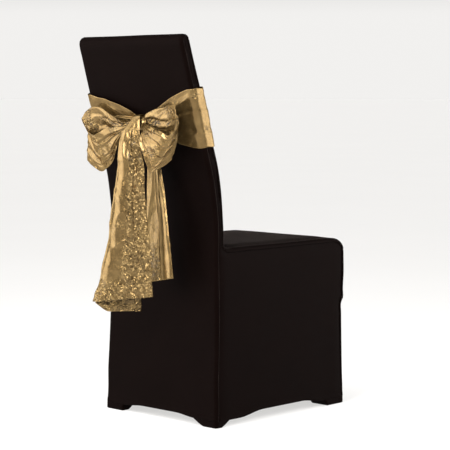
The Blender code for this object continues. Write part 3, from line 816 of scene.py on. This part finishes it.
def facets(place, size, seed):
    """Flat facets of about a size, -1 to 1, that meet in sharp creases."""
    draw = np.random.default_rng(seed)
    heights = draw.uniform(-1, 1, FACET_TABLE)
    angle = draw.uniform(0, np.pi)
    turned = place @ np.array(((np.cos(angle), -np.sin(angle)), (np.sin(angle), np.cos(angle))))
    sway = np.sin(turned[..., ::-1] * (1.9 / size) + draw.uniform(0, 6, 2))
    x, y = np.moveaxis(turned / size + 0.33 * sway, -1, 0)
    x = x + 0.5 * y
    i, j = np.floor(x).astype(int), np.floor(y).astype(int)
    x, y = x - i, y - j

    def corner(step_i, step_j):
        return heights[(i + step_i) % FACET_TABLE[0], (j + step_j) % FACET_TABLE[1]]

    low = corner(0, 0) + x * (corner(1, 0) - corner(0, 0)) + y * (corner(0, 1) - corner(0, 0))
    high = (corner(1, 1) + (1 - x) * (corner(0, 1) - corner(1, 1))
            + (1 - y) * (corner(1, 0) - corner(1, 1)))
    return np.where(x + y < 1, low, high)


def press(place, start, end, depth, width):
    """One long crease from start to end on the cloth."""
    start, end = np.array(start), np.array(end)
    way = end - start
    share = np.clip((place - start) @ way / (way @ way), 0.0, 1.0)
    away = np.linalg.norm(place - start - share[..., None] * way, axis=-1)
    return depth * np.exp(-away / width) * np.sin(np.pi * np.clip(share, 0.02, 0.98)) ** 0.5


def crumpled(points, place, turn, seed, crinkle, coarse, middle, fine=0.0007,
             stretch=(1.0, 1.0)):
    """The grid with its facets, moved along its normals."""
    drawn = place / np.array(stretch)
    relief = (coarse * facets(drawn, FACET_SIZES[0], seed)
              + middle * facets(drawn, FACET_SIZES[1], seed + 1)
              + fine * facets(place, FACET_SIZES[2], seed + 2) * crinkle)
    return points + turn * grid_normals(points) * relief[..., None]


def sash_stretch(name, points, turn, seed, crinkle=0.0, **amounts):
    """One stretch of the sash from its smooth grid: facets, crinkle and thickness."""
    place = np.stack([grid_lengths(points, 1), grid_lengths(points, 0)], axis=2)
    size = (round(float(place[:, -1, 0].mean()), 3), round(float(place[-1, :, 1].mean()), 3))
    crinkle = crinkle * np.ones(points.shape[:2])
    points = crumpled(points, place, turn, seed, crinkle, **amounts)
    faces = grid_faces(*points.shape[:2], flip=turn < 0)
    piece = cloth_piece(name, points, faces, place, SASH_CLOTH, crinkle=crinkle)
    dress(piece, gold, "sash", "sash_cloth", flat=size, held="folded")


# %% [markdown]
# ## The band
# The band leaves the knot gathered small, opens as it runs to the back's edges, turns
# round them and crosses the front. It is a row of stations on that path, each with its
# middle, half height and depth of fold.

# %% Band
BACK_DEPTH = 0.040            # from the back's rear face to its front, with the cloth
BAND_STAND = 0.0041           # the band's middle stands this far off the cover
BAND_SPACING = 0.0028
EDGE_DEPTH = 0.6              # share of a fold's depth that is left at an edge
# in millimetres: across, distance out, middle, half height and depth of fold
BAND_REAR_LEFT = np.array((
    (0, 15, 18, 14, 4.5), (30, 7, 21, 26, 8), (75, 3, 18, 45, 9), (125, 1, 14, 63, 8),
    (165, 0, 13, 70, 6), (188, 0, 15, 74, 4.5),
)) / 1000
BAND_FRONT = np.array((
    (150, 0, 16, 80, 3.5), (50, 0, 12, 83, 4.5), (-50, 0, 13, 82, 4), (-150, 0, 16, 80, 3.5),
)) / 1000
BAND_REAR_RIGHT = np.array((
    (-188, 0, 22, 80, 3), (-165, 0, 20, 75, 3.4), (-125, 1, 17, 64, 4), (-90, 3, 18, 45, 5),
    (-60, 7, 20, 26, 7), (-36, 15, 18, 14, 4.5),
)) / 1000
# and of each press on the rear: across and up at both ends, and its depth
BAND_PRESSES = np.array((
    (-120, 45, -197, 84, 2.2), (-110, 28, -194, 48, -1.8), (-110, 18, -200, -13, -2.4),
    (-100, 20, -190, 16, 1.6), (-110, -18, -195, -37, 1.6), (39, 18, 133, 63, 2.2),
    (50, 10, 185, 34, -2),
)) / 1000


def round_edge(side, centre_n, start, end, row):
    """Stations round one vertical edge of the back, the folds pressed flatter."""
    reach = half_width(BOW_HEIGHT) - CORNER_ROUND
    radius = CORNER_ROUND + BAND_STAND
    stations = []
    for angle in np.radians(np.linspace(start, end, 7)):
        way = (math.cos(angle), math.sin(angle))
        stations.append((side * reach + radius * way[0], centre_n + radius * way[1], *way,
                         row[2], row[3], row[4] * EDGE_DEPTH))
    return stations


def band_grid():
    inner_n = CORNER_ROUND - BACK_DEPTH
    stations = [(x, n + BAND_STAND, 0, 1, *row) for x, n, *row in BAND_REAR_LEFT]
    stations += round_edge(1, -CORNER_ROUND, 90, 0, BAND_REAR_LEFT[-1])
    stations += round_edge(1, inner_n, 0, -90, BAND_FRONT[0])
    stations += [(x, -BACK_DEPTH - BAND_STAND - n, 0, -1, *row) for x, n, *row in BAND_FRONT]
    stations += round_edge(-1, inner_n, -90, -180, BAND_FRONT[-1])
    stations += round_edge(-1, -CORNER_ROUND, -180, -270, BAND_REAR_RIGHT[0])
    stations += [(x, n + BAND_STAND, 0, 1, *row) for x, n, *row in BAND_REAR_RIGHT]
    stations = np.array(stations, float)
    run = np.concatenate([[0], np.cumsum(np.hypot(*np.diff(stations[:, :2], axis=0).T))])
    dense = np.linspace(0, run[-1], round(run[-1] / BAND_SPACING))
    x, n, way_x, way_n, middle, half, depth = (
        np.interp(dense, run, column)[:, None] for column in stations.T)
    share = np.linspace(0, 1, SASH_COLUMNS)[None, :]
    push = depth * folds(1 - share, dense[:, None], 3, 3)
    u = middle + half * (1 - 2 * share)
    spot = np.stack([x + 0 * u, u], axis=2)
    for *ends, deep in BAND_PRESSES:
        push = push + press(spot, ends[:2], ends[2:], deep, 0.008) * (way_n > 0.5)
    return np.stack(on_back(x + way_x * push, n + way_n * push, u), axis=2)


sash_stretch("band", band_grid(), -1, seed=11, crinkle=0.15, stretch=(1.0, 1.7), coarse=0.0010,
             middle=0.0006, fine=0.0002)

# %% [markdown]
# ## The knot
# One wrap of the same cloth goes round the gathered middle. It is a barrel whose folds
# run round it and whose two edges tuck in.

# %% Knot
KNOT = (-0.018, 0.027, 0.016)         # its middle: across, out and up
KNOT_SIZE = (0.026, 0.018, 0.019)     # and half its size in each


def knot_grid():
    turn = np.radians(np.linspace(-160, 185, 96))[:, None]
    share = np.linspace(0, 1, 40)[None, :]
    across = 2 * share - 1
    plump = (1 - 0.45 * np.abs(across) ** 3) * (1 + 0.13 * folds(share, turn * 0.02, 4, 8))
    x = KNOT[0] + KNOT_SIZE[0] * across + 0.0 * turn
    n = KNOT[1] + KNOT_SIZE[1] * np.cos(turn) * plump
    u = KNOT[2] + KNOT_SIZE[2] * np.sin(turn) * plump
    return np.stack(on_back(x, n, u), axis=2)


sash_stretch("knot", knot_grid(), -1, seed=21, coarse=0.0007, middle=0.0004, fine=0.0002)

# %% [markdown]
# ## The two loops of the bow
# Each loop is a funnel of cloth: a near and a far layer that meet in a fold at the outer
# end, open upwards. Its rims, hems and fold are curves, and each layer fills the four
# curves round it. Near the fold the layers swell apart, and folds fan out of the knot.

# %% Loops
# x, u and n of each curve in millimetres, from the knot outwards; a fold runs downwards
LEFT_LOOP = {
    "far_rim": ((4, 26, 26), (42, 20, 33), (68, 24, 32), (100, 38, 30), (122, 50, 28),
        (146, 59, 26), (171, 59, 26), (187, 53, 28), (200, 45, 32), (207, 33, 38)),
    "near_rim": ((4, 22, 36), (35.4, 12, 42), (65.8, 10.1, 48), (94, 9.2, 52), (131.8, -3.9, 54),
        (156.4, -9.9, 52), (182.3, 1.1, 48), (193.2, 17.1, 44), (207, 33, 38)),
    "fold": ((207, 33, 38), (200, 17, 40), (190, -2, 42), (191, -17, 45), (199, -45, 48),
        (209, -80, 50), (211, -86, 50)),
    "near_hem": ((4, 10, 38), (30, -2, 42), (51, -20, 50), (68, -50, 60), (85, -83, 65),
        (118, -102, 62), (146, -113, 58), (184, -101, 54), (211, -86, 50)),
    "far_hem": ((4, 10, 26), (36, 4, 28), (68, -14, 30), (108, -66, 30), (152, -102, 30),
        (186, -106, 38), (207, -93, 46), (211, -86, 50)),
}
RIGHT_LOOP = {
    "far_rim": ((-26, 28, 28), (-35, 30, 35), (-44, 42, 35), (-61, 50, 34), (-77, 55, 33),
        (-99, 59, 31), (-117, 61, 30), (-144, 68, 32), (-171, 72, 38)),
    "near_rim": ((-30, 22, 40), (-47.3, 20.1, 44), (-70.7, 15.1, 50), (-98.4, 9.8, 56),
        (-127.4, 5.1, 62), (-144.5, -4.9, 62), (-158.9, 1.4, 56), (-170.7, 23.4, 50),
        (-175.9, 48.7, 44), (-171, 72, 38)),
    "fold": ((-171, 72, 38), (-176, 37, 42), (-171, 6, 46), (-163, -23, 50), (-146, -55, 55),
        (-138, -72, 58)),
    "near_hem": ((-30, 10, 42), (-42, 0, 55), (-45, -22, 70), (-58, -52, 80), (-70, -80, 85),
        (-78, -102, 85), (-91, -95, 80), (-116, -86, 68), (-138, -72, 58)),
    "far_hem": ((-26, 8, 28), (-30, -10, 32), (-33, -33, 35), (-47, -68, 40), (-76, -79, 45),
        (-108, -77, 50), (-138, -72, 58)),
}
LOOP_COLUMNS = 84
LOOP_ROWS = 72
FOLD_SWELL = 0.003            # how far each layer swells out near the fold
GATHER_DEPTH = 0.012          # depth of the folds that fan out of the knot


def filled(top, bottom, left, right):
    """Grid that fills four curves of points; opposite curves have equal counts."""
    across = np.linspace(0, 1, len(top))[None, :, None]
    down = np.linspace(0, 1, len(left))[:, None, None]
    edges = ((1 - down) * top[None] + down * bottom[None]
             + (1 - across) * left[:, None] + across * right[:, None])
    corners = ((1 - across) * (1 - down) * top[0] + across * (1 - down) * top[-1]
               + (1 - across) * down * bottom[0] + across * down * bottom[-1])
    return edges - corners


def loop_grid(curves, seed):
    """Both layers as one grid: out along the near one, back along the far one."""
    across, down = np.linspace(0, 1, LOOP_COLUMNS)[None, :], np.linspace(0, 1, LOOP_ROWS)[:, None]
    even = {name: walk(curve_through(np.array(curve) / 1000),
                       (down if name == "fold" else across).ravel())
            for name, curve in curves.items()}
    layers = []
    for name, sign in (("near", 1.0), ("far", -1.0)):
        rim, hem = even[name + "_rim"], even[name + "_hem"]
        knot_side = rim[0] + (hem[0] - rim[0]) * down
        layer = filled(rim, hem, knot_side, even["fold"])
        gather = (GATHER_DEPTH * np.exp(-across / 0.50) * smooth(across / 0.12)
                  + 0.0010 * smooth(across * 3))
        swell = FOLD_SWELL * np.sqrt(1 - across ** 6) * smooth(across * 4)
        crease = gather * (folds(down, across * 0.15, 5, seed + (sign < 0)) - 0.5)
        layer[..., 2] += sign * swell + crease
        layers.append(layer)
    near, far = layers
    grid = np.concatenate([near, far[:, -2::-1]], axis=1)
    return np.stack(on_back(grid[..., 0], grid[..., 2], grid[..., 1]), axis=2)


for name, curves, turn, seed in (("loop_left", LEFT_LOOP, 1, 31),
                                 ("loop_right", RIGHT_LOOP, -1, 44)):
    sash_stretch(name, loop_grid(curves, seed), turn, seed=seed, crinkle=0.35,
                 stretch=(2.0, 1.0), coarse=0.0040, middle=0.0020)

# %% [markdown]
# ## The two tails
# One tail falls over the knot and hides it. Its left part is turned under, so it is an
# outer layer, a fold and a layer behind. The other tail hangs behind it in upright folds.

# %% Tails
# in millimetres: height of the row, x and y of its folded left edge and its right edge
FRONT_TAIL = (
    (818, -14, 80, -27, 76), (830, -15.5, 92, -27, 88), (828, -13, 108, -29, 99),
    (806, -7, 127.6, -34, 107), (780, 0.6, 143, -36, 109), (738, 4.2, 148.6, -36.6, 106.2),
    (698, 6.1, 150.7, -42, 100.9), (658, 9.8, 153.4, -42.8, 99.9),
    (619, 13.7, 158.4, -43.3, 99.3), (579, 17.2, 162, -46.3, 95.4), (539, 20, 166, -48.7, 94.1),
    (486, 25, 171, -53, 90), (432, 34, 180, -55, 88), (379, 43, 189, -56, 87),
    (334, 53, 200, -58, 85),
)
TURNED_SHARE = 0.80           # the turned-under layer reaches this far across
TURNED_DROP = 0.028           # and hangs this much lower at the hem
TURNED_STANDOFF = 0.013       # distance between the two layers
EDGE_LEAN = 0.72              # share of it by which the outer layer leans back at the fold
EDGE_WIDTH = 0.024
OUTER_COLUMNS, TURNED_COLUMNS = 52, 42
TAIL_SPACING = 0.0026
PRESS_SPAN = 0.095            # the width counts as this long for a press
PRESS_WIDTH = 0.0055
# in millimetres: height of the row, x and y of its left and right edge, depth of fold
REAR_TAIL = (
    (800, -10, 80, -32, 80, 3), (760, -6, 64, -42, 66, 5), (700, -4, 53, -62, 60, 7),
    (640, -2, 52, -79, 61, 9), (580, 0, 52, -92, 64, 10), (520, 2, 53, -104, 67, 10),
    (460, 4, 54, -116, 70, 10), (400, 6, 55, -127, 73, 10),
)
REAR_TAIL_SLANT = 0.024       # its right corner hangs this much lower


def dense_table(table, spacing):
    """The table's rows joined by smooth curves, as even rows about a spacing apart."""
    dense = curve_through(np.array(table) / 1000, 0.001)
    return walk(dense, np.linspace(0, 1, round(run_length(dense) / spacing))).T[:, :, None]


# share across and height at each end of a press, and its depth
TAIL_PRESSES = (
    (0.29, 0.591, 0.58, 0.517, 0.0034), (0.33, 0.600, 0.55, 0.545, -0.0024),
    (0.03, 0.556, 0.31, 0.574, 0.0026), (0.60, 0.512, 0.10, 0.478, 0.0026),
    (0.58, 0.517, 0.47, 0.405, 0.0018), (0.34, 0.700, 0.42, 0.620, 0.0016),
    (0.55, 0.760, 0.50, 0.640, -0.0018), (0.75, 0.690, 0.66, 0.560, 0.0016),
    (0.12, 0.450, 0.62, 0.385, 0.0016), (0.85, 0.520, 0.60, 0.430, 0.0016),
    (0.95, 0.600, 0.62, 0.480, -0.0014), (0.30, 0.420, 0.62, 0.352, -0.0018),
)


def front_tail_grid():
    z, left_x, left_y, right_x, right_y = dense_table(FRONT_TAIL, TAIL_SPACING)
    fall = np.clip((z[0] - z) / (z[0] - z[-1]), 0, 1)
    left = np.concatenate([left_x, left_y], axis=1)
    across = np.concatenate([right_x, right_y], axis=1) - left
    width = np.linalg.norm(across, axis=1, keepdims=True)
    unit = across / width
    behind = np.stack([unit[:, 1], -unit[:, 0]], axis=1)
    behind *= -np.sign(behind[:, 1:])
    standoff = TURNED_STANDOFF * lerp(0.45, 1.0, smooth(fall * 3))
    roll = standoff * lerp(0.4, 1.1, smooth(fall * 2)) / width
    pleats = 0.006 * (1 - 0.60 * fall) * smooth(fall * 8)
    outer = np.linspace(1, 0, OUTER_COLUMNS)[None, :]
    turned = np.linspace(0, TURNED_SHARE, TURNED_COLUMNS)[None, :]
    bend = np.linspace(0.5, math.pi, 13)[None, 1:-1]
    rolled = roll * 0.35
    outer_share = rolled + (1 - rolled) * outer
    hem = 0.013 * outer * smooth(fall * 6 - 5)
    drop = TURNED_DROP * smooth(fall * 2 - 1) * smooth(turned * 3 + 0.25)
    creased = -pleats * folds(outer, fall * 0.5, 2, 5) * smooth(outer * 6)
    edge = np.clip(1 - outer * width / EDGE_WIDTH, 0, 1) ** 2
    creased = creased + EDGE_LEAN * standoff * (edge - 1)
    spot = np.stack([outer_share * PRESS_SPAN, z + 0 * outer], axis=2)
    for start, start_z, end, end_z, depth in TAIL_PRESSES:
        creased = creased - smooth(outer * 8) * press(
            spot, (start * PRESS_SPAN, start_z), (end * PRESS_SPAN, end_z), depth, PRESS_WIDTH)
    blocks = (
        # share across, distance behind, height
        (outer_share, creased, z + hem),
        (rolled - roll * (np.sin(bend) - 0.48), standoff * (0.88 - np.cos(bend)) / 1.88,
         z + 0 * bend),
        (rolled + (TURNED_SHARE - rolled) * turned / TURNED_SHARE,
         standoff + pleats * 0.5 * folds(turned, fall * 0.5, 2, 6), z - drop),
    )
    share, back, height = (np.concatenate([block[part] for block in blocks], axis=1)
                           for part in range(3))
    place = left[:, None] + across[:, None] * share[..., None] + behind[:, None] * back[..., None]
    return np.concatenate([place, height[..., None]], axis=2)


def rear_tail_grid():
    z, left_x, left_y, right_x, right_y, depth = dense_table(REAR_TAIL, BAND_SPACING)
    fall = (z[0] - z) / (z[0] - z[-1])
    share = np.linspace(0, 1, SASH_COLUMNS)[None, :]
    edge_roll = np.sqrt(np.clip(1 - ((share - 0.80) / 0.20) ** 2, 0, 1))
    push = depth * np.maximum(edge_roll, 0.4 * folds(share, fall * 0.4, 2, 9))
    return np.stack([lerp(left_x, right_x, share), lerp(left_y, right_y, share) + push,
                     z + REAR_TAIL_SLANT * (share - 1) * fall], axis=2)


tail = rear_tail_grid()
across = np.linspace(0, 1, tail.shape[1])[None, :]
down = np.linspace(0, 1, tail.shape[0])[:, None]
busy = 0.7 * smooth(down * 4 - 2.6) * (across < 0.66)
sash_stretch("tail_rear", tail, -1, seed=61, crinkle=busy, stretch=(1.0, 2.2), coarse=0.0016,
             middle=0.0008)
tail = front_tail_grid()
across = np.linspace(0, 2, tail.shape[1])[None, :]
down = np.linspace(0, 1, tail.shape[0])[:, None]
busy = smooth(3.2 - across * 5.0 + down * 0.6) * smooth(down * 9 - 1.2)
busy = np.maximum(busy, smooth(down * 9 - 7.6)) * (0.85 + 0.15 * smooth(across))
sash_stretch("tail_front", tail, 1, seed=71, crinkle=busy, stretch=(1.0, 1.5), coarse=0.0026,
             middle=0.0014, fine=0.0009)
